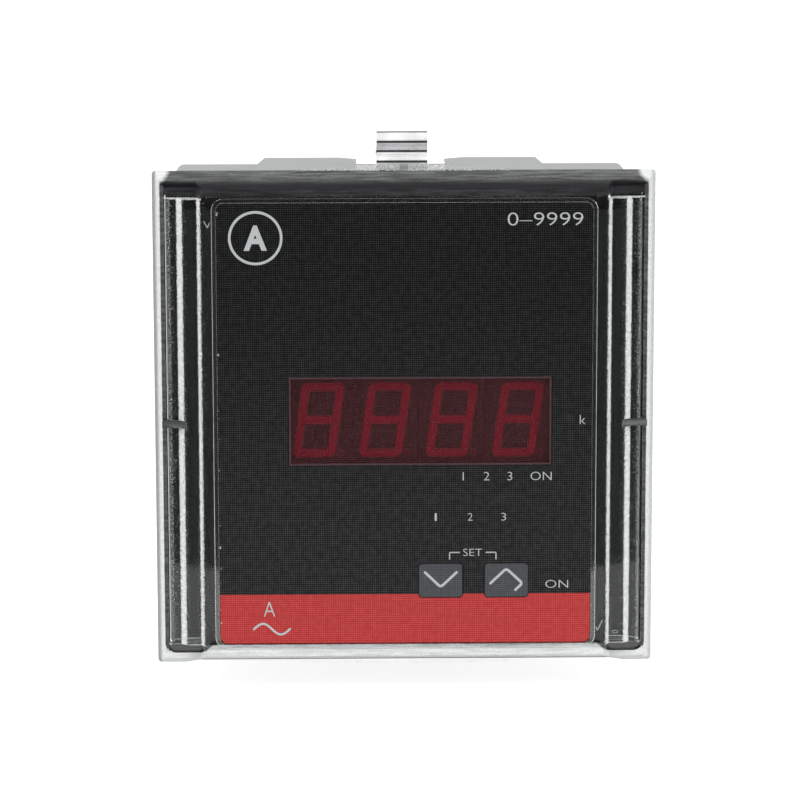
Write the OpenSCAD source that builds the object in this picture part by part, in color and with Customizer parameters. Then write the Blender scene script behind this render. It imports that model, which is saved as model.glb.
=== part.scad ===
/* [Panel fit] */
// Side of the square cut-out in the panel
cutout = 92; // [91:0.5:98]
// Distance by which the front overlaps the cut-out on every side
front_lap = 2; // [1.8:0.1:3]
// Play of the case in the cut-out, both sides together
case_play = 1; // [0.4:0.1:1.4]
// Depth of the case behind the panel
case_d = 46; // [45:0.5:60]
// Wall thickness of the case
case_wall = 2; // [1.6:0.1:2.4]
// Thickness of the gasket between the cover and the panel
gasket_t = 1; // [0.6:0.1:1.6]
// Number of cooling slots in each side wall of the case
vents = 7; // [3:1:7]
// Width of a cooling slot
vent_w = 1.8; // [1.2:0.1:2.4]
// Length of a cooling slot, along the depth of the case
vent_l = 24; // [16:1:26]

/* [Clear front cover] */
// Depth of the sloping outer wall
skirt_d = 4; // [3.8:0.1:4.6]
// Distance the outer wall leans in over its depth
skirt_lean = 1.6; // [1:0.1:1.8]
// Height of the raised centre above the outer wall
centre_rise = 3.8; // [3.4:0.1:4.6]
// Wall thickness of the clear moulding
cover_wall = 1.6; // [1.4:0.1:1.7]
// Width of each sloping riser, seen from the front
riser_w = 1.3; // [1:0.05:1.4]
// Width of the lowest ledge, next to the outer wall
ledge_low_w = 0.8; // [0.6:0.1:1.1]
// Width of the middle ledge
ledge_mid_w = 1.05; // [0.8:0.05:1.3]
// Width of the flat margin outside the label's rim
margin_w = 1.75; // [1.5:0.05:2]
// Height of the thin rim round the label, above the raised centre
rim_h = 0.3; // [0.2:0.05:0.5]
// Width of that rim
rim_w = 0.9; // [0.6:0.05:1]
// Height of the prising tabs above the edge of the cover
pry_tab_h = 1.2; // [0.6:0.1:1.5]
// Depth of the shallow relief along the lower edge
edge_relief = 0.6; // [0.3:0.1:0.8]

/* [Label and display window] */
// Width of the label
label_w = 71; // [70:0.2:71.8]
// Height of the label
label_h = 85; // [82:0.5:86]
// Thickness of the label and of the display filter
label_t = 0.25; // [0.2:0.05:0.4]
// Depth of the label's seat in the cover
label_seat = 0.2; // [0.1:0.05:0.3]
// Corner radius of the label
label_r = 1.4; // [0.8:0.1:2]
// Width of the display window
window_w = 50; // [46:0.5:51]
// Height of the display window
window_h = 17; // [15:0.2:18]
// Sideways place of the display, to the right of the middle
display_x = 2.6; // [-1:0.1:4]
// Height of the display above the middle of the front
display_z = 0.8; // [-2:0.1:4]

/* [Digits and lamps] */
// Distance from digit to digit
digit_pitch = 12.7; // [12.6:0.05:12.8]
// Height of a lit figure
figure_h = 14.2; // [12:0.1:15]
// Width of a lit figure
figure_w = 7.9; // [7:0.1:8.4]
// Width of one lit bar
bar_w = 1.3; // [1:0.05:1.6]
// Lean of the figures, in degrees
figure_lean = 8; // [0:1:10]
// Diameter of an indicator lamp's tip
lamp_d = 2; // [1.6:0.1:2.4]

/* [Keys] */
// Width of a key
key_w = 8.3; // [6:0.1:8.6]
// Height of a key
key_h = 6.5; // [5:0.1:7]
// Travel of a key
key_travel = 0.45; // [0.3:0.05:0.5]
// Sideways place of the left key
key_x = 6.8; // [5:0.1:8]
// Distance from key to key
key_pitch = 12.6; // [12:0.1:14]
// Height of the key row above the lower edge of the label
key_rise = 12.2; // [12:0.2:15]

/* [Clips] */
// Thickness of the spring steel
clip_t = 0.6; // [0.5:0.05:0.7]
// Width of the upright spring leaf
clip_w = 10; // [8:0.5:12]
// Width of the sliding foot
clip_foot_w = 20; // [18:0.2:21]
// Height of the leaf above the case
clip_h = 8.8; // [7:0.2:10]
// Length of the sliding foot
clip_foot_l = 16; // [12:0.5:17]
// Distance from the panel to the leaf, as delivered
clip_rest = 22; // [20:0.5:23]
// Thickness of the lips that hold the foot down
lip_t = 0.6; // [0.5:0.05:0.8]
// Length of each guide block, across the case
guide_w = 19; // [14:0.5:22]

/* [Boards and terminals] */
// Thickness of every circuit board
board_t = 1.6; // [1:0.1:2]
// Distance of each side board from the middle of the case
side_board_z = 20; // [18:0.5:21]
// Number of current terminals
current_poles = 6; // [4:1:6]
// Distance from one current terminal to the next
current_pitch = 11.5; // [11:0.1:12]
// Number of supply and data terminals
supply_poles = 5; // [3:1:6]
// Distance from one supply terminal to the next
supply_pitch = 10; // [9.6:0.1:11]
// Distance that the terminal blocks stand behind the case
terminal_reach = 8; // [7:0.5:10]

/* [Hidden] */
$fn = 48;

// Clearances
slide_gap = 0.15;
fit_gap = 0.25;
free_gap = 0.4;
label_gap = 0.1;
through = 1;

// Front, with heights counted forward from the rear edge of the cover
front_size = cutout + 2 * front_lap;
half = front_size / 2;
seat_y = -gasket_t;
level = [for (k = [0:3]) skirt_d + centre_rise * k / 3];
ring = half - skirt_lean;
centre_x = label_w / 2 + label_gap + rim_w + margin_w + riser_w;
foot = [ring - ledge_low_w, ring - ledge_low_w - riser_w - ledge_mid_w, centre_x];
centre_lean = 1.2;
terrace_len = label_h + 0.4;
label_floor = level[3] - label_seat;
label_face = label_floor + label_t;
roof = level[3] - cover_wall;

// Case and guides for the clips
case_w = cutout - case_play;
channel_h = clip_t + 2 * slide_gap;
guide_h = channel_h + lip_t;
case_h = cutout - 2 * guide_h - 0.2;
case_front = 1.2;
case_r = 1.5;
case_inner_w = case_w - 2 * case_wall;
case_inner_h = case_h - 2 * case_wall;
channel_half = clip_foot_w / 2 + 2 * slide_gap;
lip_w = 1.35;
lip_slope = 3.5;
lip_drop = 0.3;
guide_front = 5;
guide_back = case_d - 2;
guide_slope = 1.8;
vent_pitch = 4.5;
vent_mid = case_d / 2 + 1;
rack_pitch = 1.8;
rack_depth = 0.5;
rack_half_w = 3;

// Inner frame, display board and what they carry
frame_in = cover_wall + fit_gap;
frame_wall = 1.4;
frame_face = level[3] - frame_in;
board_front = 1.2;
board_back = board_front + board_t;
board_w = case_inner_w - 2 * free_gap;
board_h = case_inner_h - 2 * free_gap;
post_x = 28;
post_z = 37;
post_r = 3;
pilot_r = 1.1;
screw_r = 1;
screw_l = 6;
chip_x = 18;
chip_w = 12;
chip_t = 1.4;
digit_w = digit_pitch - 0.1;
digit_h = 19;
digit_gap = 0.3;
first_digit_x = display_x - digit_pitch * 1.5;
bar_depth = 0.8;
bar_gap = 0.25;
point_r = 0.7;
window_shift = 0.3;
shroud_wall = 1;
shroud_depth = 3;
side_lamp_x = 31.3;
phase_lamp_x = 5.5;
phase_pitch = 6.5;
phase_drop = 7;
link_lamp_x = 33;
link_drop = 1;
key_z = key_rise - label_h / 2;
phase_z = display_z - window_h / 2 - phase_drop;
lamp_places = concat([[side_lamp_x, display_z]],
                     [for (i = [0:2]) [phase_lamp_x + i * phase_pitch, phase_z]],
                     [[link_lamp_x, key_z - link_drop]]);
lamp_base_r = 1.5;
lamp_base_y = -3;

// Keys and switches
key_r = 0.6;
key_side_gap = 0.15;
key_flange = 0.9;
key_flange_t = 0.6;
key_play = 0.05;
key_back = roof - key_play - key_flange_t;
plunger_r = 1.5;
plunger_l = 1.5;
stem_top = key_back - plunger_l;
stem_r = 1.75;
switch_size = 6;
switch_h = 3.5;
switch_floor = board_front - 0.5;
stem_back = switch_floor - key_travel - 2 * slide_gap;

// Side boards and terminals
board_edge = case_inner_w / 2 - 0.3;
rail_w = 2;
rail_t = 1.2;
side_front = board_back + 2.4;
side_back = case_d - case_wall - 0.3;
input_z = side_board_z;
supply_z = -side_board_z - board_t;
header_w = 30;
header_h = 5;
block_front = case_d - 11;
block_back = case_d + terminal_reach;
pole_wall = 1.6;
pole_floor = block_back - 7.5;
current_block_w = current_poles * current_pitch + pole_wall;
current_block_h = 14;
supply_block_w = supply_poles * supply_pitch + pole_wall;
supply_block_h = 12.5;
clamp_t = 1;
terminal_screw_r = 1.9;
terminal_screw_l = 8;
terminal_head_r = 3;
terminal_head_h = 2.2;

// Transformers and capacitors on the side boards
ring_pitch = 26;
ring_r = 9;
eye_r = 4;
ring_front = 14;
ring_l = 13;
core_x = -20;
core_w = 30;
core_h = 17;
core_y = [14, 26];
core_gap = 2;
limb_w = 8;
core_window = 5.5;
yoke = 4.5;
can_x = 14;
can_y = 20;
can_pitch = 13;
can_r = 5;
can_h = 13;

// Middle line of a clip, as depth and height above the case, from the finger tab to the leaf's tip
bend_r = 1.2;
tab_h = 4;
wave_pitch = 3.9;
wave_depth = 1.2;
foot_mid = slide_gap + clip_t / 2;
foot_back = clip_rest + clip_foot_l;
leaf_points = 28;
clip_line = concat(
    [[foot_back + bend_r, tab_h]],
    [for (a = [0:-15:-90]) [foot_back + bend_r * cos(a), foot_mid + bend_r + bend_r * sin(a)]],
    [for (a = [270:-15:180]) [clip_rest + bend_r + bend_r * cos(a), foot_mid + bend_r + bend_r * sin(a)]],
    [for (k = [1:leaf_points])
        let (u = foot_mid + bend_r + (clip_h - foot_mid - bend_r) * k / leaf_points)
        [clip_rest - wave_depth / 2 * (1 - cos(360 * (clip_h - u) / wave_pitch)), u]]);

// Points of a centred rectangle with round corners
function round_points(w, h, r, n = 5) = [
    for (c = [0:3], i = [0:n])
        let (a = 90 * c + 90 * i / n,
             sx = (c == 0 || c == 3) ? 1 : -1,
             sy = (c < 2) ? 1 : -1)
        [sx * (w / 2 - r) + r * cos(a), sy * (h / 2 - r) + r * sin(a)]];

// Extrudes a flat shape, drawn across and up, between two places in depth
module run(y_from, y_to) {
    translate([0, y_to, 0])
        rotate([90, 0, 0])
            linear_extrude(y_to - y_from) children();
}

// The same, between two heights in front of the cover's rear edge
module rise(from, to) {
    run(seat_y - to, seat_y - from) children();
}

// A box given by its sides
module block(x0, x1, y0, y1, z0, z1) {
    translate([x0, y0, z0])
        cube([x1 - x0, y1 - y0, z1 - z0]);
}

// A round pin or hole along the depth
module rod(x, z, r, y_from, y_to) {
    translate([x, y_to, z])
        rotate([90, 0, 0])
            cylinder(r = r, h = y_to - y_from);
}

// A block whose four sides lean in towards the front and meet in mitred corners
module mitred(back_x, front_x, back_z, front_z, lean_from, front, back) {
    y = [seat_y + back, seat_y - lean_from, seat_y - front];
    intersection() {
        linear_extrude(3 * back_z, center = true)
            polygon([[-back_x, y[0]], [back_x, y[0]], [back_x, y[1]], [front_x, y[2]],
                     [-front_x, y[2]], [-back_x, y[1]]]);
        rotate([90, 0, 90])
            linear_extrude(3 * back_x, center = true)
                polygon([[y[0], -back_z], [y[1], -back_z], [y[2], -front_z],
                         [y[2], front_z], [y[1], back_z], [y[0], back_z]]);
    }
}

// The stepped form of the front, moved in by a wall on every side
module front_form(inset, back) {
    side = [for (k = [0:2])
                each [[foot[k] - inset, seat_y - level[k] + inset],
                      [foot[k] - riser_w - inset, seat_y - level[k + 1] + inset]]];
    other = [for (i = [len(side) - 1:-1:0]) [-side[i].x, side[i].y]];
    mitred(half - inset, ring - inset, half - inset, ring - inset, 0, skirt_d - inset, back);
    mitred(centre_x - inset, centre_x - riser_w - inset, ring - inset, ring - centre_lean - inset,
           skirt_d - inset, level[3] - inset, back);
    linear_extrude(terrace_len - 2 * inset, center = true)
        polygon(concat([[foot[0] - inset, seat_y + back]], side, other,
                       [[-foot[0] + inset, seat_y + back]]));
}

// Outline that the openings and the keys share
module key_shape(side, grow) {
    translate([key_x + side * key_pitch, key_z])
        polygon(round_points(key_w + 2 * grow, key_h + 2 * grow, key_r + grow));
}

// Two nibs on the top and two on the bottom of the case, which snap into pockets in the cover
module snap_nibs(grow) {
    nib_half = 2.4 + grow;
    nib_place = 6;
    nib_reach = half - cover_wall + 0.2 + grow;
    for (s = [0, 1], p = [-nib_place, nib_place])
        mirror([0, 0, s])
            block(p - nib_half, p + nib_half, seat_y - 1.1 - grow, seat_y - 0.5 + grow,
                  case_h / 2 - 1, nib_reach);
}

// Prising tabs in the middle of the upper and lower edges
module pry_tabs() {
    tab_t = 1.4;
    top = half + pry_tab_h;
    for (s = [0, 1], e = [0, 1])
        mirror([s, 0, 0])
            mirror([0, 0, e])
                rise(0, tab_t)
                    polygon([[0.8, half - 1.2], [0.8, top - 0.3], [1.1, top], [9.2, top],
                             [9.8, half + 0.5], [18.5, half + 0.15], [18.8, half + 0.35],
                             [20, half + 0.35], [20.4, half - 1.2]]);
}

// Bars at mid height that tie the lower terraces to the outer wall
module tie_bars() {
    bar_t = 1.2;
    for (s = [0, 1])
        mirror([s, 0, 0])
            block(foot[1] - riser_w - 0.4, ring - 0.1, seat_y - level[2], seat_y - skirt_d + 0.4,
                  -bar_t / 2, bar_t / 2);
}

module front_cover() {
    relief_end = foot[0] - 3;
    tab_end = 21;
    color([0.86, 0.9, 0.9, 0.35])
        difference() {
            union() {
                front_form(0, 0);
                pry_tabs();
                tie_bars();
                rise(label_floor - 0.4, level[3] + rim_h)
                    polygon(round_points(label_w + 2 * (label_gap + rim_w),
                                         label_h + 2 * (label_gap + rim_w), label_r + rim_w));
            }
            front_form(cover_wall, through);
            rise(label_floor, label_floor + 2)
                polygon(round_points(label_w + 2 * label_gap, label_h + 2 * label_gap, label_r));
            for (k = [0, 1])
                rise(roof - through, level[3] + through)
                    key_shape(k, key_side_gap);
            snap_nibs(slide_gap);
            for (s = [0, 1])
                mirror([s, 0, 0])
                    rise(-through, skirt_d)
                        polygon([[tab_end, -half - 1], [tab_end, -half + edge_relief],
                                 [relief_end - 4, -half + edge_relief], [relief_end, -half],
                                 [relief_end, -half - 1]]);
        }
}

module front_label() {
    color([0.13, 0.14, 0.14])
        difference() {
            rise(label_floor, label_face)
                polygon(round_points(label_w, label_h, label_r));
            translate([display_x + window_shift, 0, display_z])
                rise(label_floor - through, label_face + through)
                    square([window_w + 2 * label_gap, window_h + 2 * label_gap], center = true);
            for (k = [0, 1])
                rise(label_floor - through, label_face + through)
                    key_shape(k, key_side_gap);
        }
}

module display_window() {
    color([0.28, 0.13, 0.16, 0.8])
        translate([display_x + window_shift, 0, display_z])
            rise(label_floor, label_face)
                square([window_w, window_h], center = true);
}

module frame_posts() {
    for (x = [-post_x, post_x], z = [-post_z, post_z])
        rod(x, z, post_r, seat_y - frame_face + 0.5, board_front);
}

module inner_frame() {
    shroud_w = digit_pitch * 4 + 2 * digit_gap;
    shroud_h = digit_h + 2 * digit_gap;
    color([0.1, 0.11, 0.11])
        difference() {
            union() {
                difference() {
                    front_form(frame_in, 0);
                    front_form(frame_in + frame_wall, through);
                }
                frame_posts();
                translate([display_x, 0, display_z])
                    rise(frame_face - frame_wall - shroud_depth, frame_face - 0.4)
                        square([shroud_w + 2 * shroud_wall, shroud_h + 2 * shroud_wall], center = true);
            }
            difference() {
                block(-half, half, seat_y - case_front, 0, -half, half);
                frame_posts();
            }
            translate([display_x, 0, display_z])
                rise(-through, level[3])
                    square([shroud_w, shroud_h], center = true);
            for (p = lamp_places)
                rod(p.x, p.y, lamp_d / 2 + digit_gap, seat_y - level[3], seat_y);
            for (k = [0, 1])
                rise(case_front, level[3])
                    key_shape(k, key_flange + free_gap);
            for (x = [-post_x, post_x], z = [-post_z, post_z])
                rod(x, z, pilot_r, board_back - screw_l - fit_gap, board_front + through);
        }
}

// Ledges that hold the long edges of one side board
module board_rails(z) {
    for (s = [0, 1], edge = [z - slide_gap - rail_t, z + board_t + slide_gap])
        mirror([s, 0, 0])
            block(case_inner_w / 2 - rail_w, case_inner_w / 2 + 0.5, side_front, case_d - case_wall + 0.5,
                  edge, edge + rail_t);
}

// Guide blocks with lips and, between them, the channel for one clip
module clip_guides() {
    for (s = [0, 1])
        mirror([s, 0, 0])
            translate([0, 0, case_h / 2])
                run(guide_front, guide_back)
                    polygon([[channel_half, -0.5], [channel_half, channel_h],
                             [channel_half - lip_w, channel_h],
                             [channel_half - lip_w, guide_h - lip_drop],
                             [channel_half - lip_w + lip_slope, guide_h],
                             [channel_half + guide_w - guide_slope, guide_h],
                             [channel_half + guide_w, 0], [channel_half + guide_w, -0.5]]);
}

// Ratchet notches across the floor of the channel, which hold the clip where it is pushed to
module clip_rack() {
    for (y = [guide_front + 2:rack_pitch:guide_back - 1.5])
        block(-rack_half_w, rack_half_w, y, y + rack_pitch / 2, case_h / 2 - rack_depth,
              case_h / 2 + through);
}

// Cooling slots through both side walls, level with the free space between the side boards
module cooling_slots() {
    for (i = [0:vents - 1])
        translate([0, vent_mid, (i - (vents - 1) / 2) * vent_pitch])
            cube([case_w + 2, vent_l, vent_w], center = true);
}

module rear_case() {
    color([0.66, 0.67, 0.68])
        difference() {
            union() {
                difference() {
                    run(seat_y - case_front, case_d)
                        polygon(round_points(case_w, case_h, case_r));
                    run(seat_y - case_front - through, case_d - case_wall)
                        square([case_inner_w, case_inner_h], center = true);
                }
                board_rails(input_z);
                board_rails(supply_z);
                snap_nibs(0);
                for (e = [0, 1])
                    mirror([0, 0, e])
                        clip_guides();
            }
            for (e = [0, 1])
                mirror([0, 0, e])
                    clip_rack();
            cooling_slots();
            block(-current_block_w / 2 - slide_gap, current_block_w / 2 + slide_gap,
                  case_d - case_wall - through, case_d + through,
                  input_z + board_t - slide_gap, input_z + board_t + current_block_h + slide_gap);
            block(-supply_block_w / 2 - slide_gap, supply_block_w / 2 + slide_gap,
                  case_d - case_wall - through, case_d + through,
                  supply_z - supply_block_h - slide_gap, supply_z + slide_gap);
        }
}

module panel_gasket() {
    color([0.07, 0.07, 0.07])
        run(seat_y, 0)
            difference() {
                square(front_size - 0.8, center = true);
                square([case_w + 2 * fit_gap, case_h + 2 * fit_gap], center = true);
            }
}

module display_board() {
    color([0.12, 0.35, 0.2])
        difference() {
            run(board_front, board_back)
                square([board_w, board_h], center = true);
            for (x = [-post_x, post_x], z = [-post_z, post_z])
                rod(x, z, screw_r + 0.3, board_front - through, board_back + through);
        }
}

// Leans a point of a figure to the right in proportion to its height
function leaned(p) = [p.x + p.y * tan(figure_lean), p.y];

// Outline of a level bar and of an upright bar, each with pointed ends
function level_bar(z, grow) =
    let (b = bar_w / 2 + grow, l = (figure_w - bar_w) / 2 - bar_gap + grow)
    [[-l, z], [b - l, z + b], [l - b, z + b], [l, z], [l - b, z - b], [b - l, z - b]];
function upright_bar(x, z0, z1, grow) =
    let (b = bar_w / 2 + grow, z2 = z0 + bar_gap - grow, z3 = z1 - bar_gap + grow)
    [[x, z2], [x - b, z2 + b], [x - b, z3 - b], [x, z3], [x + b, z3 - b], [x + b, z2 + b]];

// The seven bars and the point of one figure, as flat shapes
module figure(grow) {
    u = (figure_w - bar_w) / 2;
    v = (figure_h - bar_w) / 2;
    bars = concat([for (z = [-v, 0, v]) level_bar(z, grow)],
                  [for (x = [-u, u], k = [0, 1]) upright_bar(x, k * v - v, k * v, grow)]);
    for (b = bars)
        polygon([for (p = b) leaned(p)]);
    translate([figure_w / 2 + 0.2, -figure_h / 2 + point_r])
        circle(r = point_r + grow);
}

module digit(i) {
    color([0.16, 0.07, 0.09])
        translate([first_digit_x + i * digit_pitch, 0, display_z])
            difference() {
                block(-digit_w / 2, digit_w / 2, seat_y - frame_face, board_front,
                      -digit_h / 2, digit_h / 2);
                rise(frame_face - bar_depth, frame_face + through)
                    figure(0.05);
            }
}

module segments(i) {
    color([0.55, 0.1, 0.15])
        translate([first_digit_x + i * digit_pitch, 0, display_z])
            rise(frame_face - bar_depth, frame_face)
                figure(0);
}

module lamp(i) {
    p = lamp_places[i];
    color([0.3, 0.08, 0.1]) {
        rod(p.x, p.y, lamp_base_r, lamp_base_y, board_front);
        rod(p.x, p.y, lamp_d / 2, seat_y - frame_face, lamp_base_y + 0.2);
    }
}

// One key, with the flange that keeps it in and the plunger that works its switch
module key(k) {
    color([0.29, 0.32, 0.35]) {
        rise(roof - key_play - 0.2, label_face)
            key_shape(k, 0);
        rise(key_back, roof - key_play)
            key_shape(k, key_flange);
        rod(key_x + k * key_pitch, key_z, plunger_r, seat_y - key_back - 0.2, seat_y - stem_top);
    }
}

module switch_body(k) {
    x = key_x + k * key_pitch;
    color([0.12, 0.12, 0.13])
        difference() {
            block(x - switch_size / 2, x + switch_size / 2, board_front - switch_h, board_front,
                  key_z - switch_size / 2, key_z + switch_size / 2);
            rod(x, key_z, stem_r + 0.1, board_front - switch_h - through, switch_floor);
        }
}

module switch_stem(k) {
    color([0.5, 0.12, 0.1])
        rod(key_x + k * key_pitch, key_z, stem_r, seat_y - stem_top, stem_back);
}

module processor() {
    color([0.1, 0.1, 0.1])
        block(chip_x - chip_w / 2, chip_x + chip_w / 2, board_back, board_back + chip_t,
              -chip_w / 2, chip_w / 2);
}

module board_screws() {
    head_r = 2.2;
    head_h = 1.5;
    color([0.75, 0.76, 0.78])
        for (x = [-post_x, post_x], z = [-post_z, post_z]) {
            rod(x, z, head_r, board_back, board_back + head_h);
            rod(x, z, screw_r, board_back - screw_l, board_back + 0.5);
        }
}

module side_board(z) {
    color([0.12, 0.35, 0.2])
        block(-board_edge, board_edge, side_front, side_back, z, z + board_t);
}

module header(z0, z1) {
    color([0.1, 0.1, 0.1])
        block(-header_w / 2, header_w / 2, board_back, side_front + 3, z0, z1);
}

// A potted ring transformer on a flat foot, round one current conductor
module current_transformer(i) {
    x = ring_pitch * (i - 1);
    foot_z = input_z + board_t;
    ring_back = ring_front + ring_l;
    color([0.1, 0.2, 0.45])
        difference() {
            union() {
                rod(x, foot_z + ring_r + 0.5, ring_r, ring_front, ring_back);
                block(x - ring_r + 1, x + ring_r - 1, ring_front, ring_back, foot_z, foot_z + ring_r / 2);
            }
            rod(x, foot_z + ring_r + 0.5, eye_r, ring_front - through, ring_back + through);
        }
}

module transformer_core() {
    z1 = supply_z - core_gap;
    color([0.35, 0.35, 0.37])
        difference() {
            block(core_x - core_w / 2, core_x + core_w / 2, core_y[0], core_y[1], z1 - core_h, z1);
            for (s = [-1, 1])
                translate([core_x + s * (limb_w + core_window) / 2, 0, z1 - core_h / 2])
                    cube([core_window, 2 * core_y[1] + 4, core_h - 2 * yoke], center = true);
        }
}

// The winding on its bobbin, with the pin strip that seats it on the board
module transformer_coil() {
    z1 = supply_z - core_gap;
    reach = 4;
    color([0.75, 0.6, 0.2])
        difference() {
            union() {
                block(core_x - limb_w / 2 - core_window + 0.2, core_x + limb_w / 2 + core_window - 0.2,
                      core_y[0] - reach, core_y[1] + reach, z1 - core_h + yoke + 0.2, z1 - yoke - 0.2);
                for (y = [core_y[0] - reach, core_y[1] + 0.2])
                    block(core_x - limb_w, core_x + limb_w, y, y + reach - 0.2, z1 - yoke - 1, supply_z);
            }
            block(core_x - limb_w / 2 - 0.1, core_x + limb_w / 2 + 0.1, core_y[0] - 0.1, core_y[1] + 0.1,
                  z1 - core_h, z1);
        }
}

module capacitor(i) {
    color([0.15, 0.17, 0.35])
        translate([can_x + i * can_pitch, can_y, supply_z - can_h])
            cylinder(r = can_r, h = can_h);
}

// A row of open poles with partition walls, open to the rear and along one long side
module terminal_block(w, z0, z1, poles, pitch, open_up) {
    pocket = pitch - pole_wall;
    mid = (z0 + z1) / 2;
    floor_z = open_up ? z0 + pole_wall : z0 - through;
    top_z = open_up ? z1 + through : z1 - pole_wall;
    color([0.13, 0.13, 0.14])
        difference() {
            block(-w / 2, w / 2, block_front, block_back, z0, z1);
            for (i = [0:poles - 1]) {
                x = (i - (poles - 1) / 2) * pitch;
                block(x - pocket / 2, x + pocket / 2, pole_floor, block_back + through, floor_z, top_z);
                rod(x, mid, terminal_screw_r + 0.1, pole_floor - terminal_screw_l - 1, pole_floor + through);
            }
        }
}

// Puts what it is given at the middle of every pole of both blocks
module each_pole() {
    for (i = [0:current_poles - 1])
        translate([(i - (current_poles - 1) / 2) * current_pitch, 0,
                   input_z + board_t + current_block_h / 2])
            children();
    for (i = [0:supply_poles - 1])
        translate([(i - (supply_poles - 1) / 2) * supply_pitch, 0, supply_z - supply_block_h / 2])
            children();
}

module terminal_clamps() {
    clamp_w = min(supply_pitch, current_pitch) - pole_wall - 1;
    color([0.8, 0.81, 0.83])
        each_pole()
            difference() {
                block(-clamp_w / 2, clamp_w / 2, pole_floor, pole_floor + clamp_t, -clamp_w / 2, clamp_w / 2);
                rod(0, 0, terminal_screw_r + 0.1, pole_floor - through, pole_floor + clamp_t + through);
            }
}

module terminal_screws() {
    slot_w = 0.9;
    seat = pole_floor + clamp_t;
    color([0.8, 0.81, 0.83])
        each_pole()
            difference() {
                union() {
                    rod(0, 0, terminal_head_r, seat, seat + terminal_head_h);
                    rod(0, 0, terminal_screw_r, seat - clamp_t - terminal_screw_l, seat + 0.5);
                }
                block(-slot_w / 2, slot_w / 2, seat + terminal_head_h - 1, seat + terminal_head_h + through,
                      -terminal_head_r - 1, terminal_head_r + 1);
            }
}

// A line moved sideways by a distance, along the mean direction of its neighbours
function shifted(line, d) = [
    for (i = [0:len(line) - 1])
        let (a = line[max(i - 1, 0)],
             b = line[min(i + 1, len(line) - 1)],
             t = (b - a) / norm(b - a))
        line[i] + d * [-t.y, t.x]];

module clip(width) {
    near = shifted(clip_line, clip_t / 2);
    far = shifted(clip_line, -clip_t / 2);
    color([0.83, 0.84, 0.86])
        translate([0, 0, case_h / 2]) {
            rotate([90, 0, 90])
                linear_extrude(width, center = true)
                    polygon(concat(near, [for (i = [len(far) - 1:-1:0]) far[i]]));
            for (s = [0, 1])
                mirror([s, 0, 0])
                    block(width / 2 - 0.5, clip_foot_w / 2, clip_rest + 3, foot_back - 2,
                          slide_gap, slide_gap + clip_t);
        }
}

module clip_top() {
    clip(clip_w);
}

module clip_bottom() {
    mirror([0, 0, 1])
        clip(clip_w);
}

front_cover();
front_label();
display_window();
inner_frame();
rear_case();
panel_gasket();
display_board();
digit(0);  // digit_1
digit(1);  // digit_2
digit(2);  // digit_3
digit(3);  // digit_4
segments(0);  // segments_1
segments(1);  // segments_2
segments(2);  // segments_3
segments(3);  // segments_4
lamp(0);  // lamp_kilo
lamp(1);  // lamp_phase_1
lamp(2);  // lamp_phase_2
lamp(3);  // lamp_phase_3
lamp(4);  // lamp_link
key(0);  // key_down
key(1);  // key_up
switch_body(0);  // switch_down
switch_body(1);  // switch_up
switch_stem(0);  // switch_stem_down
switch_stem(1);  // switch_stem_up
processor();
board_screws();
side_board(input_z);  // input_board
side_board(supply_z);  // supply_board
header(input_z + board_t, input_z + board_t + header_h);  // input_header
header(supply_z - header_h, supply_z);  // supply_header
current_transformer(0);  // current_transformer_1
current_transformer(1);  // current_transformer_2
current_transformer(2);  // current_transformer_3
transformer_core();
transformer_coil();
capacitor(0);  // capacitor_1
capacitor(1);  // capacitor_2
terminal_block(current_block_w, input_z + board_t, input_z + board_t + current_block_h,  // current_terminal_block
                   current_poles, current_pitch, true);
terminal_block(supply_block_w, supply_z - supply_block_h, supply_z, supply_poles, supply_pitch, false);  // supply_terminal_block
terminal_clamps();
terminal_screws();
clip_top();
clip_bottom();
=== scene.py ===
import math

import bpy
import numpy as np
from mathutils import Matrix, Vector


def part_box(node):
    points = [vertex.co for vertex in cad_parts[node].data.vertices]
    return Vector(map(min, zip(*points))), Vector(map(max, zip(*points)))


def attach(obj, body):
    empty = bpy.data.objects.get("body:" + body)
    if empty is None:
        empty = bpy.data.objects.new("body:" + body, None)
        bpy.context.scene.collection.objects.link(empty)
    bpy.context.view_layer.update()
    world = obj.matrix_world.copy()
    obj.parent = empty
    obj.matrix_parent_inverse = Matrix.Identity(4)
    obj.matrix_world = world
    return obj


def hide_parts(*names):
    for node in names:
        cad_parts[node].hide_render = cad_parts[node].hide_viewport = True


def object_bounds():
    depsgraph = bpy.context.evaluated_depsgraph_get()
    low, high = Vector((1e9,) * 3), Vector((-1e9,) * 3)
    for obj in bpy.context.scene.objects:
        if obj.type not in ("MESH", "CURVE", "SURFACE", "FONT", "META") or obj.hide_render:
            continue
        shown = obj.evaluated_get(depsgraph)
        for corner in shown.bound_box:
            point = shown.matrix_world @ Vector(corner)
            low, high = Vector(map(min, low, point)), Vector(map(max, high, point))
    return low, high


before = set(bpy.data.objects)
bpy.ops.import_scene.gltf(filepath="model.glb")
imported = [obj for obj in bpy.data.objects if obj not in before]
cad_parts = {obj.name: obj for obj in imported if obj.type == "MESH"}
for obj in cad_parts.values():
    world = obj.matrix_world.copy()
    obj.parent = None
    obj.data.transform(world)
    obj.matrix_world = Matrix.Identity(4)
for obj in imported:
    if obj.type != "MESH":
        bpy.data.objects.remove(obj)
cad_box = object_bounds()
MM = 0.001

# --- Rear case -------------------------------------------------------------------------------
# The deep box behind the panel, moulded in one piece from grey flame-retardant plastic.
# Its skin has the fine even grain of a spark-eroded mould, a little dull from handling.


def node(tree, kind, inputs=None, **settings):
    """Adds one node; an input is given a plain value or the socket that feeds it."""
    new = tree.nodes.new(kind)
    for name, value in settings.items():
        setattr(new, name, value)
    for name, value in (inputs or {}).items():
        if isinstance(value, bpy.types.NodeSocket):
            tree.links.new(value, new.inputs[name])
        else:
            new.inputs[name].default_value = value
    return new


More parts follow.
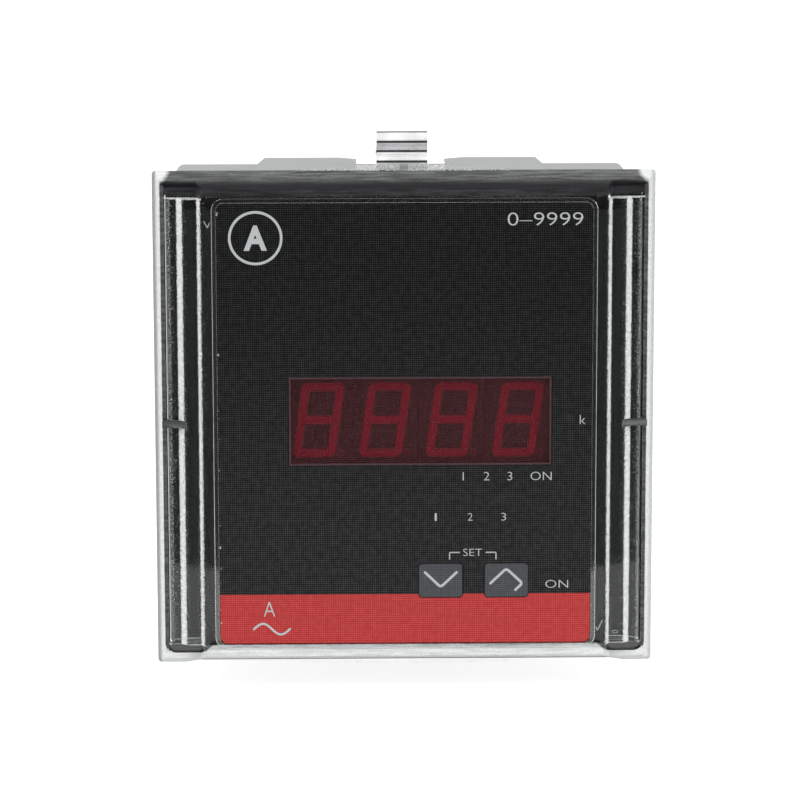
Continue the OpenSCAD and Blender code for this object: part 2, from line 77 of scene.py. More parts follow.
def mixed(tree, share, first, second, how="MIX"):
    """The colour between first and second, at a share from 0 to 1."""
    inputs = {0: share, 6: first, 7: second}
    for key in (6, 7):
        if isinstance(inputs[key], tuple):
            inputs[key] = (*inputs[key], 1.0)
    return node(tree, "ShaderNodeMix", inputs, data_type="RGBA", blend_type=how).outputs[2]


def sums(tree, how, first, second=0.0, third=0.0):
    """One step of arithmetic."""
    return node(tree, "ShaderNodeMath", {0: first, 1: second, 2: third}, operation=how).outputs[0]


def ranged(tree, value, low, high, to_low=0.0, to_high=1.0):
    """A value carried smoothly from one range to another."""
    inputs = {"Value": value, "From Min": low, "From Max": high, "To Min": to_low, "To Max": to_high}
    return node(tree, "ShaderNodeMapRange", inputs, interpolation_type="SMOOTHSTEP").outputs[0]


def effect(name, inputs, outputs):
    """An empty group of nodes for an effect that several materials use."""
    tree = bpy.data.node_groups.new(name, "ShaderNodeTree")
    kinds = {"f": "NodeSocketFloat", "c": "NodeSocketColor", "v": "NodeSocketVector"}
    for label, kind, start in inputs:
        socket = tree.interface.new_socket(label, in_out="INPUT", socket_type=kinds[kind])
        if start is not None:
            socket.default_value = start
    for label, kind in outputs:
        tree.interface.new_socket(label, in_out="OUTPUT", socket_type=kinds[kind])
    given = tree.nodes.new("NodeGroupInput").outputs
    result = tree.nodes.new("NodeGroupOutput").inputs
    return tree, given, result


def use(tree, group, **inputs):
    """Places a group in a material."""
    new = tree.nodes.new("ShaderNodeGroup")
    new.node_tree = group
    for name, value in inputs.items():
        if isinstance(value, bpy.types.NodeSocket):
            tree.links.new(value, new.inputs[name])
        else:
            new.inputs[name].default_value = (*value, 1.0) if isinstance(value, tuple) else value
    return new.outputs


def finish(name, **fixed):
    """A material with one Principled shader, and the place of each point on the piece."""
    made = bpy.data.materials.new(name)
    made.use_nodes = True
    tree = made.node_tree
    shader = tree.nodes["Principled BSDF"]
    for label, value in fixed.items():
        shader.inputs[label.replace("_", " ")].default_value = value
    place = tree.nodes.new("ShaderNodeTexCoord").outputs["Object"]
    return made, tree, shader, place


def feed(tree, shader, **sockets):
    """Joins sockets to the shader's inputs."""
    for label, socket in sockets.items():
        tree.links.new(socket, shader.inputs[label.replace("_", " ")])


def dress(material, *nodes_of_frame):
    """Gives a material to CAD pieces."""
    for name in nodes_of_frame:
        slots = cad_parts[name].data.materials
        slots.clear()
        slots.append(material)


moulded, given, result = effect(
    "moulded_skin",
    [("Place", "v", None), ("Colour", "c", (0.5, 0.5, 0.5, 1)), ("Grain", "f", 0.15), ("Rough", "f", 0.5)],
    [("Colour", "c"), ("Roughness", "f"), ("Normal", "v")])
clouds = node(moulded, "ShaderNodeTexNoise", {"Vector": given["Place"], "Scale": 60.0, "Detail": 4.0})
grain = node(moulded, "ShaderNodeTexNoise", {"Vector": given["Place"], "Scale": 2600.0, "Detail": 2.0})
flow = node(moulded, "ShaderNodeTexNoise", {"Vector": given["Place"], "Scale": 9.0, "Detail": 3.0,
                                            "Distortion": 1.5})
shade = ranged(moulded, clouds.outputs[0], 0.3, 0.7, 0.93, 1.04)
shade = sums(moulded, "MULTIPLY", shade, ranged(moulded, flow.outputs[0], 0.3, 0.7, 0.97, 1.03))
tint = node(moulded, "ShaderNodeCombineColor", {0: shade, 1: shade, 2: shade})
moulded.links.new(mixed(moulded, 1.0, given["Colour"], tint.outputs[0], "MULTIPLY"), result["Colour"])
rough = sums(moulded, "MULTIPLY", given["Rough"], ranged(moulded, clouds.outputs[0], 0.3, 0.7, 0.9, 1.12))
moulded.links.new(rough, result["Roughness"])
bump = node(moulded, "ShaderNodeBump", {"Strength": given["Grain"], "Distance": 0.05 * MM,
                                        "Height": grain.outputs[0]})
moulded.links.new(bump.outputs[0], result["Normal"])


def moulding(name, colour, grain_strength, roughness, **fixed):
    """Moulded plastic with an even grain."""
    made, tree, shader, place = finish(name, **fixed)
    skin = use(tree, moulded, Place=place, Colour=colour, Grain=grain_strength, Rough=roughness)
    feed(tree, shader, Base_Color=skin["Colour"], Roughness=skin["Roughness"], Normal=skin["Normal"])
    return made


dress(moulding("grey_case_plastic", (0.33, 0.335, 0.34), 0.25, 0.45, Specular_IOR_Level=0.35), "rear_case")

# --- Panel gasket ----------------------------------------------------------------------------
# A die-cut ring of soft black rubber, pressed between the cover's rim and the panel.
# The cut rubber is matt and a little dusty.
dress(moulding("black_rubber", (0.022, 0.022, 0.023), 0.5, 0.85), "panel_gasket")

# --- Circuit boards and the parts soldered to them -------------------------------------------
# Glass-fibre boards under green lacquer, over copper tracks that show as slightly raised lines.
# The processor, the headers, the transformers and the capacitors stand on them.
made, tree, shader, place = finish("green_board_lacquer", Coat_Weight=0.3)
tracks = node(tree, "ShaderNodeTexBrick", {"Vector": place, "Scale": 260.0, "Mortar Size": 0.03,
                                           "Mortar Smooth": 0.2}, offset=0.35, squash=1.7)
blotch = node(tree, "ShaderNodeTexNoise", {"Vector": place, "Scale": 220.0, "Detail": 2.0})
laid = mixed(tree, tracks.outputs["Fac"], (0.012, 0.085, 0.035), (0.03, 0.16, 0.06))
feed(tree, shader, Base_Color=mixed(tree, ranged(tree, blotch.outputs[0], 0.4, 0.6, 0.0, 0.35), laid,
                                    (0.01, 0.06, 0.03)))
relief = node(tree, "ShaderNodeBump", {"Strength": 0.4, "Distance": 0.05 * MM,
                                       "Height": tracks.outputs["Fac"]})
feed(tree, shader, Normal=relief.outputs[0])
shader.inputs["Roughness"].default_value = 0.35
dress(made, "display_board", "input_board", "supply_board")

dress(moulding("black_resin", (0.02, 0.02, 0.022), 0.35, 0.55), "processor", "input_header", "supply_header")
dress(moulding("blue_transformer_shell", (0.02, 0.06, 0.22), 0.12, 0.35),
      "current_transformer_1", "current_transformer_2", "current_transformer_3")

made, tree, shader, place = finish("capacitor_sleeve", Roughness=0.3)
bands = node(tree, "ShaderNodeTexWave", {"Vector": place, "Scale": 18.0, "Distortion": 0.6},
             bands_direction="X")
feed(tree, shader, Base_Color=mixed(tree, ranged(tree, bands.outputs[0], 0.9, 0.97), (0.02, 0.025, 0.09),
                                    (0.5, 0.52, 0.55)))
dress(made, "capacitor_1", "capacitor_2")

made, tree, shader, place = finish("winding_tape", Roughness=0.4)
wraps = node(tree, "ShaderNodeTexWave", {"Vector": place, "Scale": 120.0, "Distortion": 0.3},
             bands_direction="Z")
feed(tree, shader, Base_Color=mixed(tree, wraps.outputs[0], (0.62, 0.42, 0.05), (0.8, 0.6, 0.12)))
dress(made, "transformer_coil")

# --- Steel core, screws and terminal clamps --------------------------------------------------
# Stamped and turned steel, zinc plated, with fine lines along the way it was drawn or cut.
# Handling leaves it slightly uneven in sheen.
drawn, given, result = effect(
    "drawn_metal",
    [("Place", "v", None), ("Colour", "c", (0.7, 0.7, 0.7, 1)), ("Rough", "f", 0.3), ("Fine", "f", 1.0)],
    [("Colour", "c"), ("Roughness", "f"), ("Normal", "v")])
stretch = node(drawn, "ShaderNodeMapping", {"Vector": given["Place"], "Scale": (12.0, 260.0, 260.0)})
lines = node(drawn, "ShaderNodeTexNoise", {"Vector": stretch.outputs[0], "Scale": 12.0, "Detail": 4.0})
worn = node(drawn, "ShaderNodeTexNoise", {"Vector": given["Place"], "Scale": 320.0, "Detail": 5.0})
bright = ranged(drawn, worn.outputs[0], 0.35, 0.65, 0.86, 1.05)
tint = node(drawn, "ShaderNodeCombineColor", {0: bright, 1: bright, 2: bright})
drawn.links.new(mixed(drawn, 1.0, given["Colour"], tint.outputs[0], "MULTIPLY"), result["Colour"])
rough = sums(drawn, "MULTIPLY", given["Rough"], ranged(drawn, lines.outputs[0], 0.3, 0.7, 0.75, 1.35))
drawn.links.new(rough, result["Roughness"])
bump = node(drawn, "ShaderNodeBump", {"Strength": given["Fine"], "Distance": 0.01 * MM,
                                      "Height": lines.outputs[0]})
drawn.links.new(bump.outputs[0], result["Normal"])


def metal(name, colour, roughness, fine=0.3):
    """Bare or plated metal with drawing lines."""
    made, tree, shader, place = finish(name, Metallic=1.0)
    skin = use(tree, drawn, Place=place, Colour=colour, Rough=roughness, Fine=fine)
    feed(tree, shader, Base_Color=skin["Colour"], Roughness=skin["Roughness"], Normal=skin["Normal"])
    return made


dress(metal("zinc_plated_steel", (0.72, 0.73, 0.75), 0.28), "board_screws", "terminal_screws",
      "terminal_clamps")
dress(metal("core_laminations", (0.25, 0.25, 0.27), 0.5, 1.0), "transformer_core")

# --- Terminal blocks -------------------------------------------------------------------------
# Two black moulded rows of open poles, with walls between them, pushed in from the rear.
dress(moulding("black_terminal_plastic", (0.03, 0.031, 0.033), 0.25, 0.4),
      "current_terminal_block", "supply_terminal_block")

# --- Inner frame -----------------------------------------------------------------------------
# The black tray inside the clear cover, which carries the display board and keeps out light.
# It shows through the cover's ledges as a soft grey-green black with fine specks.
made, tree, shader, place = finish("black_frame_plastic", Specular_IOR_Level=0.12)
skin = use(tree, moulded, Place=place, Colour=(0.017, 0.02, 0.018), Grain=0.5, Rough=0.5)
specks = node(tree, "ShaderNodeTexNoise", {"Vector": place, "Scale": 2600.0, "Detail": 3.0})
feed(tree, shader, Normal=skin["Normal"], Roughness=skin["Roughness"],
     Base_Color=mixed(tree, ranged(tree, specks.outputs[0], 0.5, 0.72), skin["Colour"], (0.038, 0.043, 0.04)))
dress(made, "inner_frame")

# --- Digits, lamps and switches --------------------------------------------------------------
# Four figure blocks with bars of red diffusing resin in a dark face, five small round lamps,
# and two push switches with short stems, all unlit and waiting.
dress(moulding("figure_face", (0.05, 0.014, 0.018), 0.2, 0.5), "digit_1", "digit_2", "digit_3", "digit_4")
dress(moulding("red_bar_resin", (0.16, 0.018, 0.028), 0.15, 0.4),
      "segments_1", "segments_2", "segments_3", "segments_4")

# The film in front scatters the red of the bars, so each bar shows a core and a fading edge round it.
glow, tree, shader, place = finish("scattered_red", Roughness=0.7, Specular_IOR_Level=0.05)
strength = node(tree, "ShaderNodeAttribute", attribute_name="glow").outputs["Fac"]
uneven = node(tree, "ShaderNodeTexNoise", {"Vector": place, "Scale": 1500.0, "Detail": 2.0}).outputs[0]
feed(tree, shader, Alpha=sums(tree, "MULTIPLY", strength, 0.8),
     Base_Color=mixed(tree, uneven, (0.5, 0.018, 0.045), (0.75, 0.042, 0.08)))
FIGURE_W, FIGURE_H, BAR_W, LEAN = 7.9, 14.2, 1.3, math.tan(math.radians(8))
CORE_SPREAD, EDGE_SPREAD = 0.12, 0.6
NARROWER, LONGER = 0.25, 0.35
GLOW_GAP, LAYER_GAP = 0.03, 0.012


def solid(name, vertices, polygons, material, smooth=True):
    """A mesh object at the origin, with its place in its points."""
    mesh = bpy.data.meshes.new(name)
    mesh.from_pydata((np.asarray(vertices) * MM).tolist(), [], np.asarray(polygons).tolist()
                     if isinstance(polygons, np.ndarray) else polygons)
    mesh.validate()
    mesh.polygons.foreach_set("use_smooth", [smooth] * len(mesh.polygons))
    mesh.set_sharp_from_angle(angle=math.radians(35))
    for each in material if isinstance(material, list) else [material]:
        mesh.materials.append(each)
    made = bpy.data.objects.new(name, mesh)
    bpy.context.scene.collection.objects.link(made)
    return made


def bar_ring(x0, z0, x1, z1, spread):
    """The six corners round one bar between two places: the pointed bar, made a little slimmer and
    longer, with its sides moved out by a distance."""
    along = np.array([x1 - x0, z1 - z0]) / math.hypot(x1 - x0, z1 - z0)
    side = np.array([-along[1], along[0]])
    h, longer = BAR_W / 2 + spread - NARROWER, spread + LONGER
    a, b = np.array([x0, z0]) - along * longer, np.array([x1, z1]) + along * longer
    return np.array([a, a + (along + side) * h, b + (side - along) * h, b, b - (along + side) * h,
                     a + (along - side) * h])


def figure_glow(digit):
    """Seven soft bars just in front of one figure: each a core with a fading ring round it, and each
    a little in front of the one before, so that no two lie in one plane."""
    low, high = [np.array(v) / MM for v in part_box("digit_%d" % digit)]
    u, v = (FIGURE_W - BAR_W) / 2, (FIGURE_H - BAR_W) / 2
    bars = [(-u, k * v, u, k * v) for k in (-1, 0, 1)]
    bars += [(s * u, k * v, s * u, k * v + v) for s in (-1, 1) for k in (-1, 0)]
    vertices, polygons, shares, fronts = [], [], [], []
    for layer, bar in enumerate(bars):
        n = len(vertices)
        for spread in (CORE_SPREAD, EDGE_SPREAD):
            corners = bar_ring(*bar, spread)
            vertices += [(x + z * LEAN, z) for x, z in corners]
            shares += [float(spread == CORE_SPREAD)] * 6
            fronts += [low[1] - GLOW_GAP - LAYER_GAP * layer] * 6
        polygons.append([n + i for i in range(6)][::-1])
        polygons += [[n + i, n + (i + 1) % 6, n + 6 + (i + 1) % 6, n + 6 + i] for i in range(6)]
    flat = np.array(vertices) + (low + high)[[0, 2]] / 2
    points = np.stack([flat[:, 0], fronts, flat[:, 1]], axis=-1)
    piece = solid("figure_glow_%d" % digit, points, polygons, glow, smooth=False)
    piece.data.attributes.new("glow", "FLOAT", "POINT").data.foreach_set("value", np.float32(shares))
    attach(piece, "housing")


dress(moulding("dim_lamp_resin", (0.1, 0.03, 0.03), 0.1, 0.3),
      "lamp_kilo", "lamp_phase_1", "lamp_phase_2", "lamp_phase_3", "lamp_link")
for digit in (1, 2, 3, 4):
    figure_glow(digit)
dress(moulding("switch_plastic", (0.03, 0.03, 0.032), 0.2, 0.45), "switch_down", "switch_up")
dress(moulding("stem_plastic", (0.35, 0.03, 0.025), 0.2, 0.4), "switch_stem_down", "switch_stem_up")

# --- Clear front cover -----------------------------------------------------------------------
# One clear polycarbonate moulding: a leaning outer wall, three stepped risers at each side, and a
# raised centre. The risers and the ends of the steps have the mould's satin finish, shown by a second
# skin with specks. The white lines it shows there, and on the outer walls, the upper corners and the
# lower edge, are painted highlights. Its near black on the outer ledges and the tie bars is painted
# shade, and on the upper slopes it is painted shade and painted dark reflection. The rest is polished.
# Its inner wall drops in plain steps behind the risers.
COVER_HALF, COVER_RING, COVER_SKIRT = 48.0, 46.4, 4.0
COVER_FOOT = (45.6, 43.25, 39.55)
COVER_RISER, COVER_WALL = 1.3, 1.6
COVER_LEVEL = [COVER_SKIRT + 3.8 * k / 3 for k in range(4)]
STEP_END, CENTRE_END, LINING = 43.2, 45.2, 46.3
OPEN_HALF_W, OPEN_HALF_H = 34, 41
CORNER_R, TIE_HALF, SEAT_Y = 0.7, 0.55, -1.0
# The lower edge is raised a little on both sides of the middle, from the first place to the second,
# and comes down again by the third.
RAISED, EDGE_RISE = (21.0, 38.6, 42.6), 0.6


def softened(t, places, heights, radius=0.14):
    """A line through the given corners, each one rounded: the mean of the straight line over a
    window of the given half width."""
    return np.mean([np.interp(t + s, places, heights) for s in np.linspace(-radius, radius, 9)], axis=0)


def nearer(a, b, k):
    """The smaller of two distances, with a rounded corner of size k where they are equal."""
    return (a + b - np.sqrt((a - b) ** 2 + k * k)) / 2


def outer_height(q, r):
    """Height of the polished face above the cover's rear edge, at the distances q and r from the two
    middle lines: the leaning wall, and on it the stepped terraces or the raised centre."""
    lean = COVER_HALF - COVER_RING
    wall = softened(nearer(COVER_HALF - q, COVER_HALF - r, 0.3), [0.0, lean], [0.0, COVER_SKIRT], 0.1)
    places = [edge for foot in COVER_FOOT[::-1] for edge in (foot - COVER_RISER, foot)]
    steps = softened(q, places, [COVER_LEVEL[k] - COVER_SKIRT for k in (3, 2, 2, 1, 1, 0)])
    ends = softened(r, [STEP_END, STEP_END + 0.14], [1.0, 0.0], 0.08)
    across_centre = (COVER_FOOT[2] - q) / COVER_RISER
    along_centre = (COVER_RING - r) / (COVER_RING - CENTRE_END)
    centre = softened(nearer(across_centre, along_centre, 0.15), [0.0, 1.0],
                      [0.0, COVER_LEVEL[3] - COVER_SKIRT], 0.11)
    return wall + np.maximum(steps * ends * (q < COVER_RING - 0.2), centre)


def inner_height(q, r):
    """Height of the inner face: flat floors one wall behind the ledges, with upright steps behind the
    middle of each riser, and an upright outer wall."""
    mid = [foot - COVER_RISER / 2 for foot in COVER_FOOT]
    floor = [level - COVER_WALL for level in COVER_LEVEL]
    terraces = np.select([q < mid[2], q < mid[1], q < mid[0]], floor[:0:-1], floor[0])
    terraces = np.where(r < STEP_END - 0.2, terraces, floor[0])
    centre = np.where((q < mid[2]) & (r < CENTRE_END - 0.6), floor[3], floor[0])
    return np.where((q < LINING) & (r < LINING), np.maximum(terraces, centre), 0.0)


def grid_line(edges, sharp, plain):
    """Places of the grid lines: close together round every rounded edge, in pairs at every sharp step
    and single elsewhere, on both sides of the middle."""
    near = [e + np.linspace(-0.3, 0.3, 7) for e in edges] + [[e - 0.01, e + 0.01] for e in sharp]
    line = np.unique(np.round(np.abs(np.concatenate(near + [plain])), 3))
    return np.concatenate([-line[::-1], line[line > 0]])


wall_lines = [48.0, 47.93, 47.8, 47.6, 47.3, 47.0, 46.8]
riser_mids = [f - COVER_RISER / 2 for f in COVER_FOOT]
beside_mids = np.add.outer(riser_mids, [-0.2, 0.2]).ravel()
across = grid_line([COVER_RING] + [f - d for f in COVER_FOOT for d in (0.0, COVER_RISER)],
                   riser_mids + [LINING],
                   np.concatenate([wall_lines, np.arange(OPEN_HALF_W, 46, 0.5), beside_mids]))
upward = grid_line([COVER_RING, CENTRE_END, STEP_END], [STEP_END - 0.2, CENTRE_END - 0.6, LINING],
                   np.concatenate([wall_lines, np.arange(OPEN_HALF_H, 46, 0.4), np.arange(4, 41, 4),
                                   [0.4, 0.5, 0.58, 0.66, 0.8, 1.2, 2.0]]))
x, z = np.meshgrid(across, upward, indexing="ij")
q, r = np.abs(x), np.abs(z)
height = outer_height(q, r)
bar = softened(r, [TIE_HALF, TIE_HALF + 0.08], [1.0, 0.0], 0.05) * COVER_LEVEL[2]
tied = (q > COVER_FOOT[1] - COVER_RISER) & (q < COVER_RING - 0.1)
height = np.where(tied, np.maximum(height, bar), height)
rise = np.interp(q, [RAISED[0], RAISED[0] + 0.05, *RAISED[1:]], [0.0, EDGE_RISE, EDGE_RISE, 0.0])
rise *= np.clip((-z - 46.6) / 1.4, 0, 1)
# The square's corners are drawn in to round ones: a point past the corner's centre keeps its way
# from there, and its distance becomes the larger of its two offsets.
straight = COVER_HALF - CORNER_R
over_q, over_r = [np.maximum(d - straight, 0) / CORNER_R for d in (q, r)]
pull = np.maximum(over_q, over_r) / np.maximum(np.hypot(over_q, over_r), 1e-9)
round_x = np.where(pull > 0, np.sign(x) * (np.minimum(q, straight) + over_q * pull * CORNER_R), x)
round_z = np.where(pull > 0, np.sign(z) * (np.minimum(r, straight) + over_r * pull * CORNER_R), z)
outer = np.stack([round_x, SEAT_Y - height, round_z + rise], axis=-1)
inner = np.stack([round_x, SEAT_Y - inner_height(q, r), round_z + rise], axis=-1)

rows, cols = x.shape
total = rows * cols
number = np.arange(total).reshape(rows, cols)
cells = np.stack([number[:-1, :-1], number[1:, :-1], number[1:, 1:], number[:-1, 1:]], axis=-1)
centred = ((np.abs(x[:-1, :-1] + x[1:, 1:]) < 2 * OPEN_HALF_W)
           & (np.abs(z[:-1, :-1] + z[1:, 1:]) < 2 * OPEN_HALF_H))
shell = cells[~centred].reshape(-1, 4)
edges = np.concatenate([shell[:, [i, (i + 1) % 4]] for i in range(4)])
forth, back = edges[:, 0] * total + edges[:, 1], edges[:, 1] * total + edges[:, 0]
rim = edges[~np.isin(forth, back)]
behind = number + total
for side in (np.s_[0, :], np.s_[-1, :], np.s_[:, 0], np.s_[:, -1]):
    behind[side] = number[side]
behind = behind.ravel()
rim = rim[(behind[rim] != rim).all(axis=1)]
strip = np.stack([rim[:, 1], rim[:, 0], behind[rim[:, 0]], behind[rim[:, 1]]], axis=-1)
faces = np.concatenate([shell, behind[shell[:, ::-1]], strip])
points = np.concatenate([outer.reshape(-1, 3), inner.reshape(-1, 3)])


def satin_and_painted_light_shares(x, z):
    """How much of the second skin the front has at a point, from 0 for polished to 1, and how white that
    skin is there: the mould's satin finish on the risers, and painted light and shade. Each place takes the
    largest of the shares given below. The sides' outer walls, the risers, the ends of the steps, the upper
    corners, the lower edge and, faintly, the left margin alone are white: painted highlights. The outer
    ledge and the tie bars are dark with painted shade, and the upper slopes are grey and then dark, a
    painted reflection, as they throw light away from the front."""
    q, r = np.abs(x), np.abs(z)
    places, shares = [], []
    for foot, profile in ((COVER_FOOT[2], (0.16, 0.5, 0.84, 0.9, 0.45, 0.0)),
                          (COVER_FOOT[1], (0.4, 0.8, 0.95, 1.0, 0.8, 0.3)),
                          (COVER_FOOT[0], (0.36, 0.5, 0.52, 0.46, 0.3, 0.2))):
        places += list(foot - COVER_RISER + np.linspace(-0.05, COVER_RISER + 0.1, 6))
        shares += profile
    risers = np.interp(q, places, shares) * np.clip((STEP_END + 0.2 - r) / 0.1, 0, 1)
    dark_ledge = 0.92 * ((q > COVER_FOOT[0]) & (q < COVER_RING) & (r < 45.6))
    corner_q, corner_r = np.maximum(q - 44.15, 0), np.maximum(-z - 43.0, 0)
    wall = np.interp(np.hypot(corner_q, corner_r) - 2.0, [0.0, 0.3], [0.0, 0.95]) * (q > 38.4)
    ends = np.clip(1.4 - np.abs(r - STEP_END - 0.05) / 0.16, 0, 0.75) * ((q > 38.4) & (q < 45.7))
    low_from = np.interp(q, [36.6, 37.6, 38.2, 38.9, 39.5], [42.55, 43.0, 43.7, 44.4, 45.0])
    low = np.interp(-z - low_from, [0.0, 0.3], [0.0, 0.92])
    margin = 0.3 * ((x < 0) & (q > 37.2) & (q < 38.9))
    corner = np.clip(3.2 * (1.05 - np.hypot((q - 48) / 3.6, (z - 48) / 2.3)), 0, 1)
    bright = np.maximum.reduce([risers, wall, ends, low, corner, margin])
    upper = np.interp(z, [43.7, 43.85], [0.0, 0.96]) * (q < 46.6)
    grey = np.interp(z, [44.4, 44.9, 45.1, 45.4, 45.7, 46.0, 46.3, 46.6, 48.0],
                     [0.035, 0.04, 0.022, 0.0, 0.0, 0.012, 0.06, 0.12, 0.17])
    white = np.where(bright >= upper, 1.0, np.maximum(grey, np.maximum(wall, corner)))
    white = np.where((q < 38.2) & (z < 0), np.interp(-z, [42.5, 43.5, 43.7], [0.5, 0.65, 1.0]), white)
    white = np.where(dark_ledge > bright, 0.11, white)
    tie = (r < 0.72) & (q > 41.6) & (q < 46.3)
    white = np.where(tie, np.interp(r, [0.45, 0.62], [0.15, 0.03]), white)
    return np.maximum.reduce([bright, upper, dark_ledge, 0.93 * tie]), white


def give_satin_and_painted_light(piece, shares, white):
    """Stores how much of the second skin each point of a piece has, satin finish and painted light and
    shade, and how white it is; faces that have any of it get the second skin."""
    for name, values in (("satin_and_painted_light", shares), ("white", white)):
        piece.data.attributes.new(name, "FLOAT", "POINT").data.foreach_set("value", values.astype(np.float32))
    most = np.array([shares[list(face.vertices)].max() for face in piece.data.polygons])
    piece.data.polygons.foreach_set("material_index", (most > 0.02).astype(np.int32))


speckle, given, result = effect(
    "fine_specks", [("Place", "v", None), ("Amount", "f", 0.5), ("Scale", "f", 2400.0)], [("Mask", "f")])
dots = node(speckle, "ShaderNodeTexNoise", {"Vector": given["Place"], "Scale": given["Scale"],
                                            "Detail": 1.5})
edge = sums(speckle, "SUBTRACT", 0.86, sums(speckle, "MULTIPLY", given["Amount"], 0.72))
mask = node(speckle, "ShaderNodeMapRange", {"Value": dots.outputs[0], "From Min": edge,
                                            "From Max": sums(speckle, "ADD", edge, 0.16)})
speckle.links.new(mask.outputs[0], result["Mask"])

clear, tree, shader, place = finish("clear_polycarbonate", Transmission_Weight=1.0, IOR=1.5)
waves = node(tree, "ShaderNodeTexNoise", {"Vector": place, "Scale": 90.0, "Detail": 3.0})
haze = node(tree, "ShaderNodeTexNoise", {"Vector": place, "Scale": 700.0, "Detail": 4.0})
feed(tree, shader, Roughness=ranged(tree, haze.outputs[0], 0.4, 0.75, 0.02, 0.1),
     Base_Color=mixed(tree, waves.outputs[0], (0.93, 0.96, 0.955), (0.99, 1.0, 1.0)),
     Normal=node(tree, "ShaderNodeBump", {"Strength": 0.12, "Distance": 0.06 * MM,
                                          "Height": waves.outputs[0]}).outputs[0])

# The second skin: a speckled satin frost whose colour carries painted light and shade. It is white for
# painted highlights and near black for painted shade, with a grey band of painted shade along the outer
# wall's edge that is stronger on the left than on the right. Streaks and mist make the painted light uneven,
# most of all on its dark parts.
satin_and_painted_light_skin, tree, shader, place = finish("satin_and_painted_light_polycarbonate", IOR=1.5, Roughness=0.6,
                                         Specular_IOR_Level=0.12)
share = node(tree, "ShaderNodeAttribute", attribute_name="satin_and_painted_light").outputs["Fac"]
specks = use(tree, speckle, Place=place, Amount=share, Scale=5200.0)["Mask"]
to_right = node(tree, "ShaderNodeSeparateXYZ", {0: place}).outputs[0]
painted_edge_shade = sums(tree, "MAXIMUM", ranged(tree, to_right, -46.9 * MM, -47.6 * MM),
                 ranged(tree, to_right, 46.9 * MM, 47.6 * MM, 0.0, 0.45))
painted_light_level = node(tree, "ShaderNodeAttribute", attribute_name="white").outputs["Fac"]
frost_and_painted_light = mixed(tree, specks, (0.42, 0.43, 0.43), (0.71, 0.73, 0.725))
frost_and_painted_light = mixed(tree, painted_edge_shade, frost_and_painted_light, (0.3, 0.305, 0.305))
streaks = node(tree, "ShaderNodeTexNoise", {
    "Vector": node(tree, "ShaderNodeMapping", {"Vector": place, "Scale": (0.12, 1.0, 1.0)}).outputs[0],
    "Scale": 1400.0, "Detail": 4.0, "Distortion": 0.4}).outputs[0]
mist = node(tree, "ShaderNodeTexNoise", {"Vector": place, "Scale": 3400.0, "Detail": 2.0}).outputs[0]
uneven = sums(tree, "MULTIPLY", ranged(tree, streaks, 0.3, 0.7, 0.55, 1.45),
              ranged(tree, mist, 0.3, 0.7, 0.8, 1.2))
on_dark = ranged(tree, painted_light_level, 0.1, 1.0, 1.0, 0.25)
uneven = sums(tree, "ADD", 1.0, sums(tree, "MULTIPLY", sums(tree, "SUBTRACT", uneven, 1.0), on_dark))
tint = node(tree, "ShaderNodeCombineColor", {0: uneven, 1: uneven, 2: uneven}).outputs[0]
shaded = mixed(tree, painted_light_level, (0.006, 0.006, 0.008), frost_and_painted_light)
feed(tree, shader, Alpha=specks, Base_Color=mixed(tree, 1.0, shaded, tint, "MULTIPLY"))

cover = solid("clear_cover", points, faces, [clear, satin_and_painted_light_skin])
shares, white = satin_and_painted_light_shares(points[:, 0], points[:, 2])
shares[total:] = 0
give_satin_and_painted_light(cover, shares, white)
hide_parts("front_cover")
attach(cover, "housing")

# The prising tabs at the middle of the upper and lower edges: thin slabs in one with the cover, two
# above and two below. Those above stand out further. All four carry the second skin in white as a
# painted highlight, those above more of it.
TAB_OUTLINE = np.array([(0.8, 47.9), (0.8, 48.9), (1.1, 49.2), (7.8, 49.2), (9.8, 48.5), (18.5, 48.15),
                        (18.8, 48.35), (20.0, 48.35), (20.4, 47.9)])
TAB_T = 0.5
for name, side, way, tip, share in (("upper_left", -1, 1, 49.2, 0.6), ("upper_right", 1, 1, 49.2, 0.6),
                                    ("lower_left", -1, -1, 48.45, 0.35), ("lower_right", 1, -1, 48.45, 0.35)):
    n = len(TAB_OUTLINE)
    flat = np.stack([TAB_OUTLINE[:, 0], np.minimum(TAB_OUTLINE[:, 1], tip)], axis=-1) * [side, way]
    if side * way > 0:
        flat = flat[::-1]
    ring = [np.stack([flat[:, 0], np.full(n, SEAT_Y - depth), flat[:, 1]], axis=-1) for depth in (TAB_T, 0.0)]
    tab_faces = [list(range(n))[::-1], list(range(n, 2 * n))]
    tab_faces += [[(i + 1) % n, (i + 1) % n + n, i + n, i] for i in range(n)]
    piece = solid("pry_tab_" + name, np.concatenate(ring), tab_faces, [clear, satin_and_painted_light_skin], smooth=False)
    give_satin_and_painted_light(piece, np.full(2 * n, share), np.ones(2 * n))
    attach(piece, "housing")


def swept(path, profile, across_dir):
    """A closed profile carried round a closed path: each path point plus the profile's first value
    along the outward direction there, and its second towards the front."""
    n, m = len(path), len(profile)
    ring = path[:, None, :] + profile[None, :, :1] * across_dir[:, None, :]
    y = np.broadcast_to(profile[None, :, 1], (n, m))
    pts = np.stack([ring[..., 0], y, ring[..., 1]], axis=-1).reshape(-1, 3)
    i, j = np.meshgrid(np.arange(n), np.arange(m), indexing="ij")
    a, b = i * m + j, ((i + 1) % n) * m + j
    c, d = ((i + 1) % n) * m + (j + 1) % m, i * m + (j + 1) % m
    return pts, np.stack([a, b, c, d], axis=-1).reshape(-1, 4)


